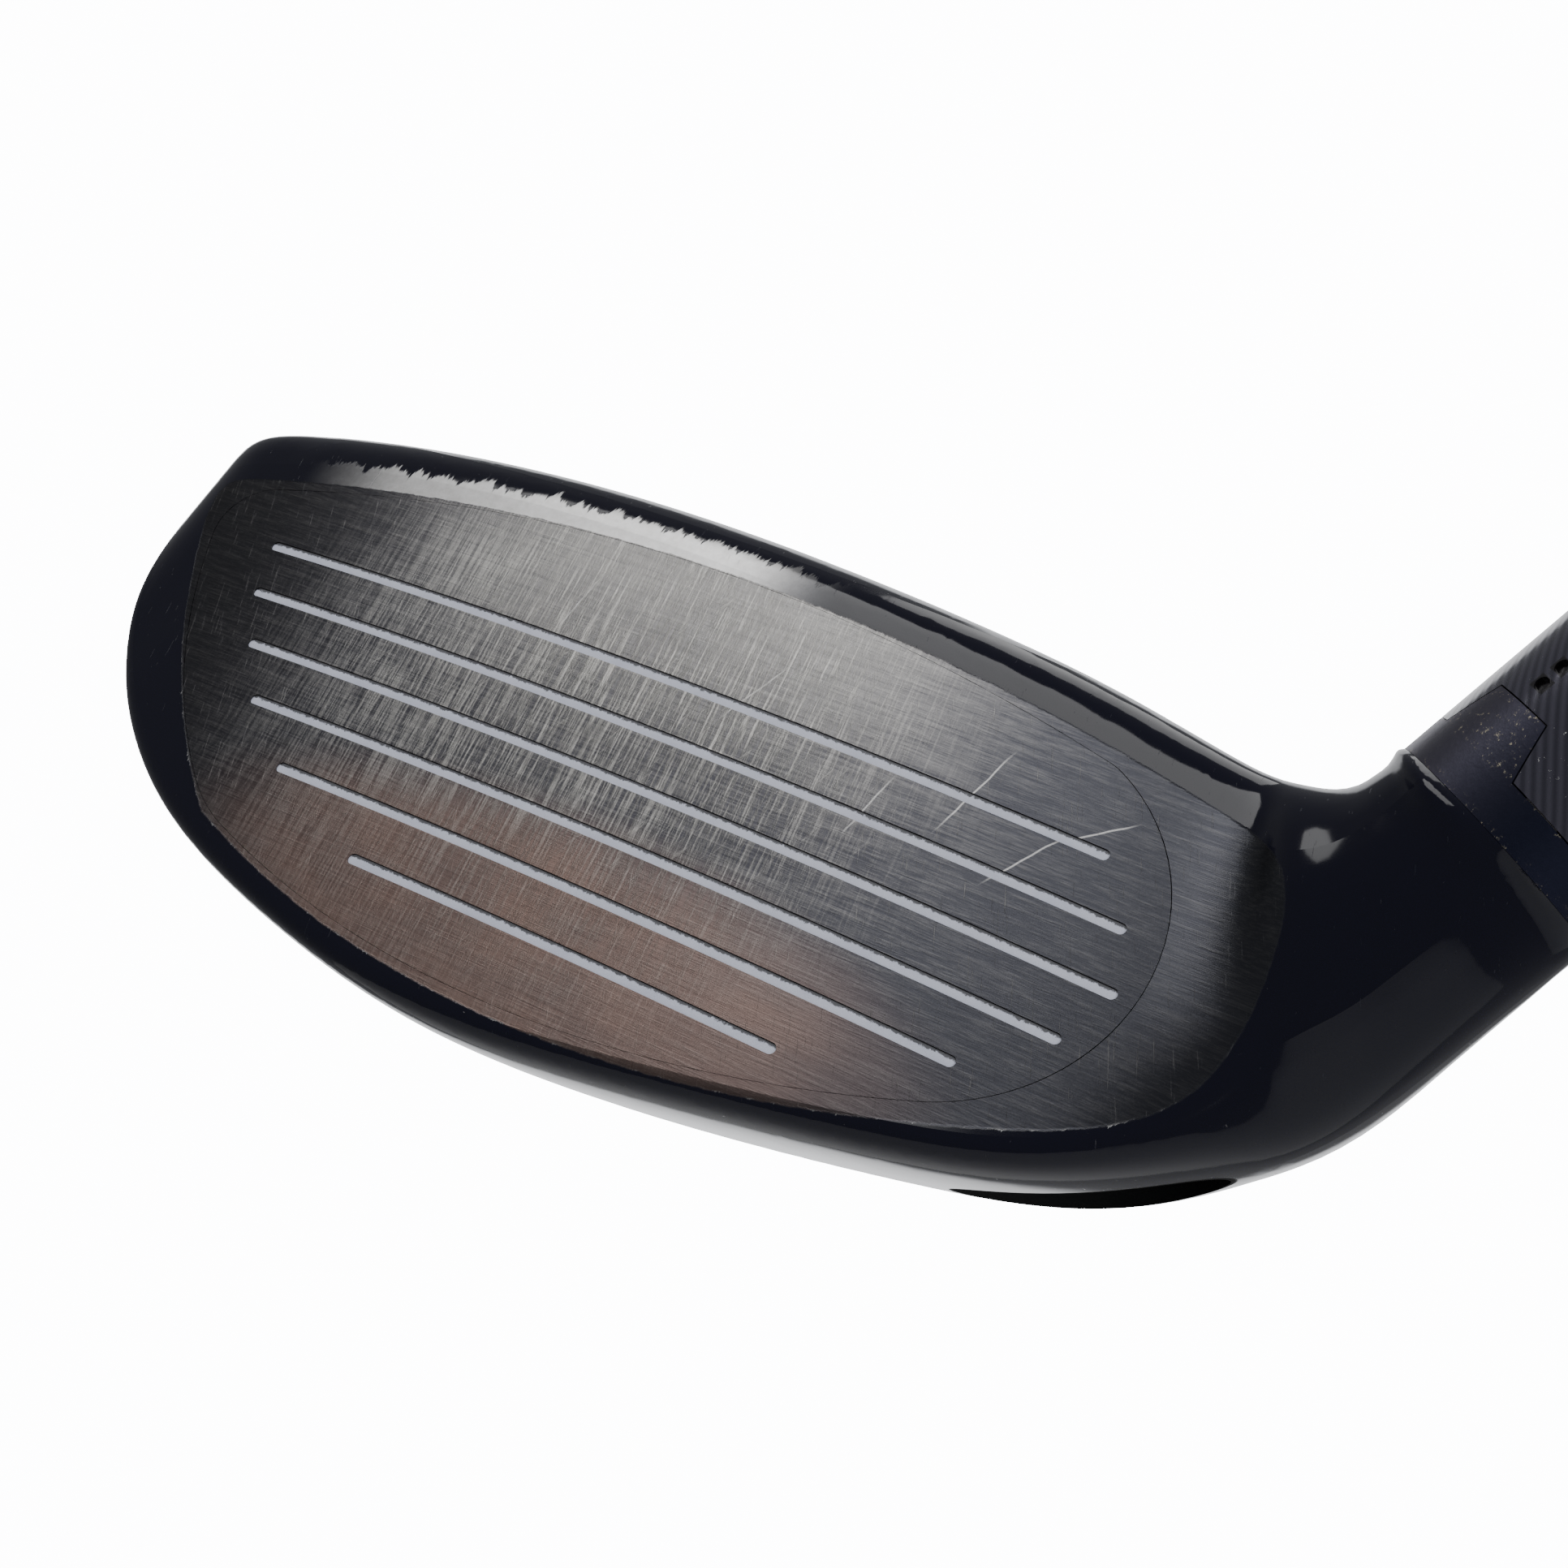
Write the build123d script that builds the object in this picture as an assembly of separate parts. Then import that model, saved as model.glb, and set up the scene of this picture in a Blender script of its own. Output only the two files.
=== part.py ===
"""Adjustable-hosel hybrid golf club, right handed, in its address position.

Millimetres. +Z is up and Z = 0 is the ground that the sole rests on.  The toe points to -X, the
shaft rises towards +X in the XZ plane, and the face looks towards -Y.  The origin is the point
where the shaft axis meets the ground.
"""
from build123d import *
import math
import os

import numpy as np

# ---------------------------------------------------------------- driving dimensions
# the club as a whole
LIE = 61.5                # shaft axis above the ground, degrees
LOFT = 19.8               # face leaning back from vertical, degrees
CLUB_LENGTH = 1020.0      # ground to the end of the grip, along the shaft axis
GRIP_LENGTH = 267.0

# the head
HEAD_LENGTH = 73.4        # toe tip to where the shaft axis meets the ground
HEAD_HEIGHT = 36.1
HEAD_DEPTH = 42.5         # shaft axis to the rearmost point of the tail
FACE_PROGRESSION = 16.4   # face in front of the shaft axis, at the ground
FACE_CENTRE_X = -36.2     # where the bulge has its crest
BULGE_RADIUS = 293.0      # heel to toe curve of the face
TOE_EDGE_RADIUS = 5.0     # rounding from the face round to the toe
TOE_EDGE_START = 4.8      # how far inside the toe tip that rounding starts
CROWN_WALL = 1.0
SOLE_WALL = 1.8
SKIRT_WALL = 1.5
TOE_WALL = 2.2
PARTING_FRONT_Z = 33.3    # crown weld line above the face
PARTING_REAR_Z = 19.0     # crown weld line at the tail
CROWN_HEEL_X = -3.0       # where the crown shell meets the heel casting

# the face plate and its lines
FACE_THICKNESS = 2.0
FACE_BACKING = 0.9        # web of the casting behind the plate
LINE_PITCH = 3.6
LINE_WIDTH = 0.7
LINE_DEPTH = 0.45
PAINT_SINK = 0.08         # paint surface below the face
LOWEST_LINE = 7.96        # height of the lowest line, measured up the face
# heel and toe end of each line, from the lowest to the highest
LINE_ENDS = [(-40.4, -10.6), (-49.2, -1.8), (-54.5, 2.4), (-57.8, 3.8), (-60.4, 2.5), (-61.8, -0.3)]

# the hosel: every height below is measured along the shaft axis from the ground
HOSEL_OD = 14.0
NECK_TOP = 36.1
BORE_BOTTOM = 21.5
BORE_WALL = 1.3           # neck wall round the sleeve bore
WEB_BOTTOM = 18.5         # underside of the web that the screw pulls against
TOOTH_COUNT = 4
TOOTH_ROOT = 38.55        # valley floor of the lower ring
TOOTH_TIP = 41.7          # top of its teeth
TOOTH_ROOT_ARC = 54.0     # width of a tooth at its root, degrees
TOOTH_TIP_ARC = 35.0      # width of a tooth at its tip, degrees
TOOTH_CENTRE = -27.0      # first tooth, turned from the front towards the toe
TOOTH_GAP = 0.08          # clearance between meshing teeth
KEY_COUNT = 4
KEY_WIDTH = 2.4
KEY_DEPTH = 1.5
KEY_HEIGHT = 0.6          # radial height of a key beyond the bore
COG_TOP = 51.5            # top of the upper cog
FERRULE_TOP = 74.0
DOT_DIAMETER = 0.85
DOT_DEPTH = 0.3
DOT_HEIGHTS = [43.1, 44.4]

# the adapter sleeve and the screw
SLEEVE_WALL = 0.7
SLEEVE_BOTTOM = 23.3
THREAD_LENGTH = 9.4       # threaded foot of the sleeve
SCREW_DIAMETER = 5.0      # M5 x 0.8
SCREW_PITCH = 0.8
SCREW_THREAD_DEPTH = 0.35
SCREW_HEAD_OD = 8.4
SCREW_HEAD_HEIGHT = 3.6
SCREW_SOCKET = 4.0        # hexagon across flats
SCREW_SOCKET_DEPTH = 2.4
WASHER_THICKNESS = 0.8
RETAINER_HEIGHT = 1.2
RETAINER_OD = 8.6

# the shaft
SHAFT_TIP_OD = 9.4
SHAFT_BUTT_OD = 15.2
SHAFT_TIP_WALL = 2.0
SHAFT_BUTT_WALL = 1.1
SHAFT_PARALLEL = 90.0     # parallel tip above the ferrule
PLUG_LENGTH = 12.0

# the grip
GRIP_MOUTH_OD = 19.2
GRIP_BUTT_OD = 26.6
GRIP_CAP_OD = 31.0
GRIP_CAP_HEIGHT = 9.0
GRIP_CAP_WALL = 4.0
TAPE_THICKNESS = 0.3
VENT_DIAMETER = 3.2

# the sole
BADGE_LENGTH = 26.0
BADGE_WIDTH = 9.0
BADGE_TOP_Z = 1.3
BADGE_X = -33.0
BADGE_Y = 4.0
WEIGHT_X = -32.0
WEIGHT_Y = 27.0
WEIGHT_OD = 12.0
WEIGHT_HEIGHT = 6.5
WEIGHT_RECESS = 0.4
WEIGHT_SOCKET = 4.0
WEIGHT_BOSS_WALL = 2.2
PAD_DIAMETER = 14.0
PAD_THICKNESS = 3.0
PAD_X = -56.0
PAD_Y = 16.0

# fits
RUNNING_FIT = 0.05        # radial clearance of a sliding or turning fit
SEAT_GAP = 0.02           # bonded or pressed seats
WELD_GAP = 0.03           # round the badge and under the rattle pad
SCREW_HOLE_GAP = 0.3      # round the screw's neck in the web
SCREW_PORT_GAP = 0.4      # round the screw's head in the heel

# ---------------------------------------------------------------- derived values
lie = math.radians(LIE)
loft = math.radians(LOFT)
HOSEL_R = HOSEL_OD / 2
BORE_R = HOSEL_R - BORE_WALL
SLEEVE_R = BORE_R - RUNNING_FIT
SLEEVE_BORE_R = SLEEVE_R - SLEEVE_WALL
SHAFT_TIP_R = SHAFT_TIP_OD / 2
SHAFT_FOOT = SLEEVE_BOTTOM + THREAD_LENGTH + 0.6
SHAFT_END = CLUB_LENGTH - GRIP_CAP_WALL
GRIP_MOUTH = CLUB_LENGTH - GRIP_LENGTH
TAPER_START = FERRULE_TOP + SHAFT_PARALLEL

# shaft frame: x runs across the axis to the heel side, y to the back, z up the shaft
AXIS = Plane(origin=(0, 0, 0), x_dir=(math.sin(lie), 0, -math.cos(lie)),
             z_dir=(math.cos(lie), 0, math.sin(lie)))


def shaft_radius(height):
    """Outer radius of the shaft at a height along its axis."""
    share = min(max((height - TAPER_START) / (SHAFT_END - TAPER_START), 0.0), 1.0)
    return SHAFT_TIP_R + share * (SHAFT_BUTT_OD - SHAFT_TIP_OD) / 2


# ---------------------------------------------------------------- the head's lines plan
# One row for each station from the toe tip to the last one below the neck: where its plane
# meets the crown ridge and the sole line, how far back its tail lies and how high up it is.
# Pod rows are shares of the head's length, height and depth; the heel rows, from where ridge x
# turns positive, are shares of the neck's heel corner and ridge corner instead.
LINES_PLAN = [
    # ridge x, ridge z, sole x, sole z, tail y, tail height share
    (-1.000, 0.803, -1.000, 0.742, 0.170, 0.45),
    (-0.986, 0.856, -0.986, 0.626, 0.277, 0.45),
    (-0.951, 0.895, -0.951, 0.465, 0.426, 0.44),
    (-0.883, 0.934, -0.883, 0.294, 0.606, 0.45),
    (-0.760, 0.975, -0.760, 0.139, 0.809, 0.46),
    (-0.597, 1.000, -0.597, 0.044, 0.947, 0.47),
    (-0.420, 1.000, -0.420, 0.000, 1.000, 0.47),
    (-0.243, 0.978, -0.243, 0.033, 0.947, 0.47),
    (-0.093, 0.942, -0.079, 0.091, 0.809, 0.48),
    (0.073, 0.921, 0.180, 0.218, 0.617, 0.49),
    (0.257, 0.904, 0.522, 0.402, 0.404, 0.50),
    (0.372, 0.915, 0.702, 0.567, 0.295, 0.50),
    (0.436, 0.950, 0.830, 0.747, 0.220, 0.50),
]
NECK_BLEND_START = 9.15   # station where the flat front begins to turn into the neck's circle
NECK_BLEND_SPAN = 1.45
FLAT_TOP_MARGIN = 3.6     # from the crown ridge down to where the flat face ends
FLAT_SOLE_MARGIN = 2.3    # from the sole up to where the flat face starts
RIDGE_SHARE = 0.22        # how far behind the face the crown is highest
SOLE_SHARE = 0.28         # how far behind the face the sole is lowest
NECK_SPLIT = 30.0         # angle on the neck's circle that the ends of the flat face turn into
ARC_90 = 4 / 3 * math.tan(math.radians(90) / 4)
ARC_60 = 4 / 3 * math.tan(math.radians(60) / 4)


def smooth_column(values):
    """A natural cubic spline through values at 0, 1, 2 ..., as a function."""
    y = np.array(values, float)
    n = len(y)
    a = np.eye(n)
    b = np.zeros(n)
    for i in range(1, n - 1):
        a[i, i - 1:i + 2] = (1, 4, 1)
        b[i] = 6 * (y[i - 1] - 2 * y[i] + y[i + 1])
    m = np.linalg.solve(a, b)

    def value(u):
        i = min(int(u), n - 2)
        f = u - i
        return ((1 - f) * y[i] + f * y[i + 1]
                + ((1 - f) ** 3 - (1 - f)) * m[i] / 6 + (f ** 3 - f) * m[i + 1] / 6)

    return value


neck_centre = AXIS.from_local_coords(Vector(0, 0, NECK_TOP))
neck_ridge = AXIS.from_local_coords(Vector(-HOSEL_R, 0, NECK_TOP))
neck_heel = AXIS.from_local_coords(Vector(HOSEL_R, 0, NECK_TOP))
STATIONS = []
for ridge_x, ridge_z, sole_x, sole_z, tail_y, tail_share in LINES_PLAN:
    on_pod = ridge_x < 0
    along = HEAD_LENGTH if on_pod else neck_heel.X
    STATIONS.append((ridge_x * along, ridge_z * (HEAD_HEIGHT if on_pod else neck_ridge.Z), sole_x * along,
                     sole_z * (HEAD_HEIGHT if on_pod else neck_heel.Z), tail_y * HEAD_DEPTH, tail_share))
STATIONS.append((neck_ridge.X, neck_ridge.Z, neck_heel.X, neck_heel.Z, HOSEL_R, 0.5))
LAST_STATION = len(STATIONS) - 1
COLUMNS = [smooth_column(column) for column in zip(*STATIONS)]


def face_y(x, z):
    """Y of the bulged, leaning face surface above a point of the XZ plane."""
    bulge = (x - FACE_CENTRE_X) ** 2 / (2 * BULGE_RADIUS) / math.cos(loft)
    return -FACE_PROGRESSION + z * math.tan(loft) + bulge


def toe_recess(x):
    """How far the front falls back behind the face surface where it rounds to the toe."""
    past = min(max(TOE_EDGE_START - HEAD_LENGTH - x, 0.0), TOE_EDGE_RADIUS * 0.98)
    return TOE_EDGE_RADIUS - math.sqrt(TOE_EDGE_RADIUS ** 2 - past ** 2)


def section_curves(u, crown_in=0.0, sole_in=0.0, front_in=0.0, tail_in=0.0):
    """Control points of the head's section at station u: flat front, crown edge, crown, tail, sole.

    Five cubic curves join at five points with common tangents.  On the pod the front is
    straight and lies on the face; towards the neck all five turn into arcs of its circle.
    """
    rx, rz, sx, sz, tail_y, tail_share = (c(u) for c in COLUMNS)
    share = min(max((u - NECK_BLEND_START) / NECK_BLEND_SPAN, 0.0), 1.0)
    neck = share * share * (3 - 2 * share)
    height = math.hypot(rx - sx, rz - sz)
    qx, qz = (rx - sx) / height, (rz - sz) / height
    low, high = sole_in, height - crown_in
    margin_top = min(FLAT_TOP_MARGIN, 0.36 * height)
    margin_sole = min(FLAT_SOLE_MARGIN, 0.24 * height)
    w0 = max(margin_sole, low + 1.0)
    w1 = min(height - margin_top, high - 1.0)

    def front(w):
        x = sx + qx * w
        return face_y(x, sz + qz * w) + toe_recess(x) + front_in

    y0, y1 = front(w0), front(w1)
    tail_y -= tail_in
    lean = math.degrees(math.atan2(y1 - y0, w1 - w0))
    y_ridge = y1 + RIDGE_SHARE * (tail_y - y1)
    y_sole = y0 + SOLE_SHARE * (tail_y - y0)
    w_tail = low + tail_share * (high - low)
    pod = [(y0, w0), (y1, w1), (y_ridge, high), (tail_y, w_tail), (y_sole, low)]
    pod_handles = [((w1 - w0) / 3, (w1 - w0) / 3), (0.75 * (high - w1), 0.70 * (y_ridge - y1)),
                   (0.52 * (tail_y - y_ridge), 0.42 * (high - w_tail)),
                   (0.42 * (w_tail - low), 0.52 * (tail_y - y_sole)),
                   (0.85 * (y_sole - y0), 0.90 * (w0 - low))]
    split = math.radians(NECK_SPLIT)
    mid, half = height / 2, height / 2
    sine, cosine = math.sin(split), math.cos(split)
    ring = [(-HOSEL_R * cosine, mid - half * sine), (-HOSEL_R * cosine, mid + half * sine), (0, height),
            (tail_y, mid), (0, 0)]
    slant = math.hypot(HOSEL_R * sine, half * cosine)
    ring_handles = [(ARC_60 * slant, ARC_60 * slant), (ARC_60 * slant, ARC_60 * HOSEL_R),
                    (ARC_90 * tail_y, ARC_90 * half), (ARC_90 * half, ARC_90 * tail_y),
                    (ARC_60 * HOSEL_R, ARC_60 * slant)]
    pod_turn = [lean, lean, 90, 180, 270]
    ring_lean = math.degrees(math.atan2(HOSEL_R * sine, half * cosine))
    ring_turn = [-ring_lean, ring_lean, 90, 180, 270]

    def mix(a, b):
        return a + (b - a) * neck

    joints = [(mix(p[0], c[0]), mix(p[1], c[1])) for p, c in zip(pod, ring)]
    turns = [math.radians(mix(p, c)) for p, c in zip(pod_turn, ring_turn)]
    handles = [(mix(p[0], c[0]), mix(p[1], c[1])) for p, c in zip(pod_handles, ring_handles)]
    curves = []
    for i in range(5):
        j = (i + 1) % 5
        start, end = np.array(joints[i]), np.array(joints[j])
        away = np.array((math.sin(turns[i]), math.cos(turns[i])))
        into = np.array((math.sin(turns[j]), math.cos(turns[j])))
        controls = [start, start + handles[i][0] * away, end - handles[i][1] * into, end]
        curves.append([(float(sx + qx * w), float(y), float(sz + qz * w)) for y, w in controls])
    return curves


def head_loft(stations, **insets):
    """A smooth solid through the head's sections at the given stations."""
    rings = []
    for u in stations:
        edges = []
        for controls in section_curves(u, **insets):
            edges.append(Edge.make_bezier(*[Vector(*point) for point in controls]))
        rings.append(Wire(edges))
    return Solid.make_loft(rings)


# ---------------------------------------------------------------- the face
FACE_POINT = Vector(FACE_CENTRE_X, -FACE_PROGRESSION, 0)
FACE_UP = Vector(0, math.sin(loft), math.cos(loft))
FACE_OUT = Vector(0, -math.cos(loft), math.sin(loft))
FACE = Plane(origin=FACE_POINT, x_dir=(1, 0, 0), z_dir=FACE_OUT)


def bulge_slab(outside, inside):
    """The layer of the face between two depths below the bulged face surface."""
    outer, inner = BULGE_RADIUS - outside, BULGE_RADIUS - inside
    half = math.asin(HEAD_LENGTH * 0.8 / BULGE_RADIUS)
    foot = Plane(origin=FACE_POINT - FACE_OUT * BULGE_RADIUS - FACE_UP * HEAD_HEIGHT,
                 x_dir=(1, 0, 0), z_dir=FACE_UP)

    def on(radius, angle):
        return (radius * math.sin(angle), -radius * math.cos(angle))

    edges = [ThreePointArc(on(outer, -half), on(outer, 0), on(outer, half)),
             Line(on(outer, half), on(inner, half)),
             ThreePointArc(on(inner, half), on(inner, 0), on(inner, -half)),
             Line(on(inner, -half), on(outer, -half))]
    return extrude(foot * make_face(edges), 3 * HEAD_HEIGHT, dir=FACE_UP)


# plate outline on the face plane: heel-toe from the crest of the bulge, height up the face
PLATE_TOE_TOP = (-32.5, 29.2)
PLATE_TOP = (2.4, 34.0)
PLATE_HEEL_TOP = (33.7, 31.2)
PLATE_HEEL = (41.1, 20.9)
PLATE_HEEL_SOLE = (33.7, 8.8)
PLATE_SOLE = (10.6, 3.5)
PLATE_TOE_SOLE = (-15.8, 7.4)
PLATE_TOE = (-26.2, 17.2)
PLATE_TOP_CORNER = 3.2
PLATE_TOE_CORNER = 14.0
PLATE_HEEL_CORNER = 4.0
PLATE_MIDDLE = 18.5       # height of the point that the plate's outline shrinks towards
PLATE_SHRINK = 0.0015     # leaves the weld gap round the plate


def plate_outline(share=1.0):
    """The face plate's outline as a flat face, drawn in by a share about its middle."""

    def at(point):
        return (point[0] * share, PLATE_MIDDLE + (point[1] - PLATE_MIDDLE) * share)

    toe_top, toe_sole = at(PLATE_TOE_TOP), at(PLATE_TOE_SOLE)
    heel_top, heel_sole = at(PLATE_HEEL_TOP), at(PLATE_HEEL_SOLE)
    flat = make_face([ThreePointArc(toe_top, at(PLATE_TOP), heel_top),
                      ThreePointArc(heel_top, at(PLATE_HEEL), heel_sole),
                      ThreePointArc(heel_sole, at(PLATE_SOLE), toe_sole),
                      ThreePointArc(toe_sole, at(PLATE_TOE), toe_top)])
    corners = {toe_top: PLATE_TOP_CORNER, toe_sole: PLATE_TOE_CORNER, heel_top: PLATE_HEEL_CORNER,
               heel_sole: PLATE_HEEL_CORNER}
    for corner, radius in corners.items():
        nearest = flat.vertices().sort_by_distance(Vector(*corner))[0]
        flat = fillet(nearest, radius * share)
    return flat


def face_prism(flat):
    """A flat outline on the face plane carried right through the front of the head."""
    deep = HEAD_HEIGHT
    return extrude(FACE * Pos(0, 0, -deep / 2) * flat, deep, dir=FACE_OUT)


def line_slots(width):
    """The six score lines as round-ended slots on the face plane."""
    slots = []
    for i, (toe, heel) in enumerate(LINE_ENDS):
        middle = (toe + heel) / 2 - FACE_CENTRE_X
        height = LOWEST_LINE + i * LINE_PITCH
        slots.append(Pos(middle, height) * SlotOverall(heel - toe, width))
    return slots


# ---------------------------------------------------------------- turned parts on the shaft axis
def turned(profile):
    """A solid turned about the shaft axis from (radius, height) corners."""
    corners = [Vector(r, 0, h) for r, h in profile]
    solid = Solid.revolve(Face(Wire.make_polygon(corners)), 360, Axis.Z)
    return AXIS.location * solid


def tube(outer, inner, low, high):
    """A straight tube on the shaft axis."""
    return turned([(inner, low), (outer, low), (outer, high), (inner, high)])


def rod(radius, low, high):
    """A straight round bar on the shaft axis."""
    return AXIS.location * Solid.make_cylinder(radius, high - low, Plane.XY.offset(low))


def hexagon_socket(across_flats, low, high):
    """A hexagonal hole on the local Z axis."""
    return extrude(Pos(0, 0, low) * RegularPolygon(across_flats / 2, 6, major_radius=False), high - low)


def tooth_tools(grow):
    """The ring teeth as radial wedges; grow widens them and lifts their tips for clearance."""
    root_half = HOSEL_R * math.sin(math.radians(TOOTH_ROOT_ARC / 2)) + grow
    tip_half = HOSEL_R * math.sin(math.radians(TOOTH_TIP_ARC / 2)) + grow
    overlap = 0.5
    low, high = TOOTH_ROOT - overlap, TOOTH_TIP + grow
    slope = (root_half - tip_half) / (TOOTH_TIP - TOOTH_ROOT)
    low_half, high_half = root_half + slope * overlap, tip_half - slope * grow
    tools = []
    for i in range(TOOTH_COUNT):
        # polar angle in the shaft frame: the front of the club lies at -90
        angle = TOOTH_CENTRE - 90 + i * 360 / TOOTH_COUNT
        corners = [(-low_half, low), (low_half, low), (high_half, high), (-high_half, high)]
        radial = Plane(origin=(0, 0, 0), x_dir=(0, 1, 0), z_dir=(1, 0, 0))
        wedge = extrude(radial * Polygon(*corners, align=None), 2 * HOSEL_R)
        tools.append(AXIS.location * Rot(0, 0, angle) * wedge)
    return tools


def key_tools(side_gap, deep_gap):
    """The keys under the lower ring, or with gaps the notches that they drop into."""
    keys = []
    inner, outer = BORE_R - 0.5, BORE_R + KEY_HEIGHT + side_gap
    low = NECK_TOP - KEY_DEPTH - deep_gap
    for i in range(KEY_COUNT):
        angle = TOOTH_CENTRE + 45 - 90 + i * 360 / KEY_COUNT
        block = Box(outer - inner, KEY_WIDTH + 2 * side_gap, NECK_TOP + 0.5 - low)
        middle = Pos((inner + outer) / 2, 0, (NECK_TOP + 0.5 + low) / 2)
        keys.append(AXIS.location * Rot(0, 0, angle) * middle * block)
    return keys


def carve(solid, *tools):
    """Cut every tool out of a solid."""
    for tool in tools:
        solid = solid - tool
    return solid


# ---------------------------------------------------------------- the head
HALF_STATIONS = [i / 2 for i in range(2 * LAST_STATION + 1)]


def station_at(x):
    """The station whose crown ridge lies at a given x."""
    fine = np.linspace(0, 9, 181)
    return float(np.interp(x, [COLUMNS[0](u) for u in fine], fine))


def sole_point(x, y):
    """Height and fore-and-aft slope of the outer sole under a point."""
    share = np.linspace(0, 1, 60)
    weights = [(1 - share) ** 3, 3 * share * (1 - share) ** 2, 3 * share * share * (1 - share), share ** 3]
    sole = section_curves(station_at(x))[3]
    ys = sum(weight * point[1] for weight, point in zip(weights, sole))[::-1]
    zs = sum(weight * point[2] for weight, point in zip(weights, sole))[::-1]
    step = 1.0
    height = float(np.interp(y, ys, zs))
    slope = float(np.interp(y + step, ys, zs) - np.interp(y - step, ys, zs)) / (2 * step)
    return height, math.atan(slope)


def build_head():
    """The cast head body, crown, face plate, painted lines and what the shell holds."""
    parts = {}
    outer = head_loft(HALF_STATIONS)
    toe_end = station_at(TOE_WALL - HEAD_LENGTH)
    heel_end = station_at(CROWN_HEEL_X)
    count = 17
    inside = [toe_end + (heel_end - toe_end) * i / (count - 1) for i in range(count)]
    cavity = head_loft(inside, crown_in=CROWN_WALL, sole_in=SOLE_WALL,
                       front_in=FACE_THICKNESS + FACE_BACKING, tail_in=SKIRT_WALL)

    # the crown shell: everything above the parting plane, up to the heel casting
    slope = (PARTING_REAR_Z - PARTING_FRONT_Z) / HEAD_DEPTH
    front, rear, top = -HEAD_DEPTH, 2 * HEAD_DEPTH, 2 * HEAD_HEIGHT
    side = [(front, PARTING_FRONT_Z + slope * front), (rear, PARTING_FRONT_Z + slope * rear),
            (rear, top), (front, top)]
    start = -HEAD_LENGTH - 10
    across = Plane(origin=(start, 0, 0), x_dir=(0, 1, 0), z_dir=(1, 0, 0))
    lid = extrude(across * Polygon(*side, align=None), CROWN_HEEL_X - start)
    # the hosel bore, key notches, screw web and the screw's opening in the heel
    casting = carve(outer, rod(BORE_R, BORE_BOTTOM, NECK_TOP + 1),
                    rod(SCREW_DIAMETER / 2 + SCREW_HOLE_GAP, 0, BORE_BOTTOM + 1),
                    rod(SCREW_HEAD_OD / 2 + SCREW_PORT_GAP, -HOSEL_R, WEB_BOTTOM),
                    *key_tools(2 * RUNNING_FIT, 2 * RUNNING_FIT))

    # the face plate sits in a pocket of its own shape
    front_layer = bulge_slab(-HEAD_HEIGHT / 4, FACE_THICKNESS)
    casting = casting - (face_prism(plate_outline()) & front_layer)
    shell = casting - cavity
    crown = shell & lid
    body = shell - lid
    plate = face_prism(plate_outline(1 - PLATE_SHRINK)) & bulge_slab(0, FACE_THICKNESS - SEAT_GAP)
    grooves = bulge_slab(-1, LINE_DEPTH)
    paint = bulge_slab(PAINT_SINK, LINE_DEPTH)
    lines = []
    for wide, narrow in zip(line_slots(LINE_WIDTH), line_slots(LINE_WIDTH - 2 * SEAT_GAP)):
        plate = plate - (face_prism(wide) & grooves)
        lines.append(face_prism(narrow) & paint)

    # the sole weight screws into a boss at the back of the sole
    height, tilt = sole_point(WEIGHT_X, WEIGHT_Y)
    seat = Plane(origin=(WEIGHT_X, WEIGHT_Y, height), x_dir=(1, 0, 0),
                 z_dir=(0, -math.sin(tilt), math.cos(tilt)))
    deep = WEIGHT_RECESS + WEIGHT_HEIGHT
    boss = Solid.make_cylinder(WEIGHT_OD / 2 + WEIGHT_BOSS_WALL, deep + WEIGHT_BOSS_WALL + 4, seat.offset(-4))
    port = Solid.make_cylinder(WEIGHT_OD / 2 + RUNNING_FIT, deep + SEAT_GAP + 4, seat.offset(-4))
    body = body + (boss & outer)
    body = body - port
    weight = Solid.make_cylinder(WEIGHT_OD / 2, WEIGHT_HEIGHT, seat.offset(WEIGHT_RECESS))
    weight = weight - seat.location * hexagon_socket(WEIGHT_SOCKET, 0, WEIGHT_RECESS + WEIGHT_HEIGHT / 2)

    # a blank badge let into the sole
    slot = Pos(BADGE_X, BADGE_Y, -1) * SlotOverall(BADGE_LENGTH, BADGE_WIDTH)
    grown = 2 * WELD_GAP
    hole = Pos(BADGE_X, BADGE_Y, -1) * SlotOverall(BADGE_LENGTH + grown, BADGE_WIDTH + grown)
    badge = outer & extrude(slot, BADGE_TOP_Z + 1)
    body = body - extrude(hole, BADGE_TOP_Z + 1 + SEAT_GAP)

    # a pad of tacky glue on the inner sole that catches rattles
    floor, _ = sole_point(PAD_X, PAD_Y)
    disc = Pos(PAD_X, PAD_Y, floor) * Cylinder(PAD_DIAMETER / 2, 2 * (PAD_THICKNESS + SOLE_WALL))
    pad = (Pos(0, 0, WELD_GAP) * cavity) & disc

    parts.update(head_body=body, crown_shell=crown, face_plate=plate, score_line_paint=lines,
                 sole_badge=badge, sole_weight=weight, rattle_pad=pad)
    return parts


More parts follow.
